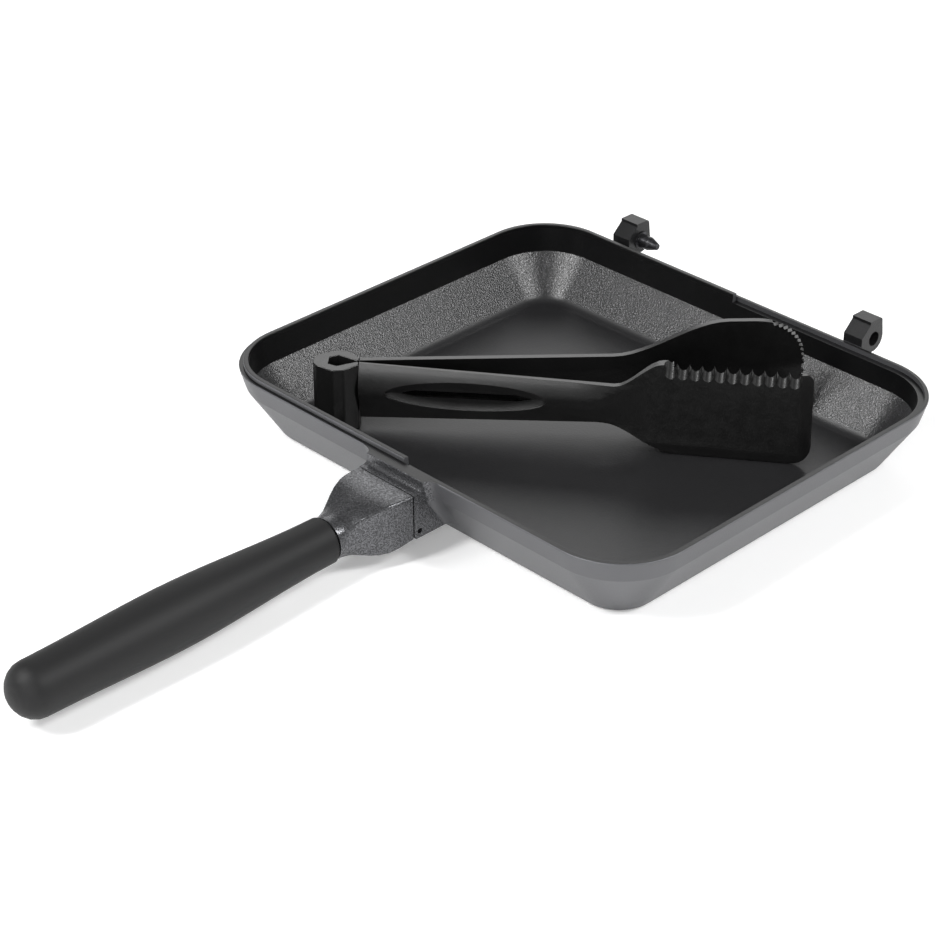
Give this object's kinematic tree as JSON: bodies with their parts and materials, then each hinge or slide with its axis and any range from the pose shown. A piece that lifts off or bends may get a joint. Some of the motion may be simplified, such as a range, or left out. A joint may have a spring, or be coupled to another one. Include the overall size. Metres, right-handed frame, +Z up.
{
  "type": "double sided flip pan",
  "caption": "Shallow rectangular half pan with a sealing rim, hinge pin and eye, straight round handle, and a pair of tongs lying in it.",
  "frame": {"origin": "middle of the flat base, on the surface that the pan stands on", "axes": "+Z up, +Y from the handle towards the hinge, +X to the right as seen from the handle"},
  "size_m": [0.2196, 0.3759, 0.0473],
  "materials": {
    "coated_pan": "die-cast, dark grey satin outside, black non-stick inside",
    "black_steel": "blackened",
    "cast_bracket": "satin, dark grey, finely pebbled",
    "grip_plastic": "matte black, finely textured",
    "bright_steel": "zinc plated",
    "tongs_nylon": "satin black nylon"
  },
  "bodies": {
    "pan": {"pan_body": "coated_pan", "hinge_pin": "black_steel", "handle_bracket": "cast_bracket", "cross_pin": "black_steel", "handle_grip": "grip_plastic", "grip_screw": "bright_steel"},
    "loop": {"tongs_loop": "tongs_nylon"},
    "flat_arm": {"tongs_flat_arm": "tongs_nylon"},
    "round_arm": {"tongs_round_arm": "tongs_nylon"}
  },
  "joints": [
    {"name": "tongs_lift", "type": "slide", "parent": "pan", "child": "loop", "axis": [0, 0, 1], "range_m": [0, 0.06]},
    {"name": "flat_arm_flex", "type": "hinge", "parent": "loop", "child": "flat_arm", "pos_m": [-0.06449, -0.0555, 0.0173], "axis": [0, 0, 1], "range_deg": [0, 5.2], "stiffness_Nm_per_rad": 2},
    {"name": "round_arm_flex", "type": "hinge", "parent": "loop", "child": "round_arm", "pos_m": [-0.06686, -0.0528, 0.0173], "axis": [0, 0, -1], "range_deg": [0, 5.2], "stiffness_Nm_per_rad": 2}
  ],
  "couplings": [
    {"joint": "round_arm_flex", "follows": "flat_arm_flex", "ratio": 1}
  ]
}
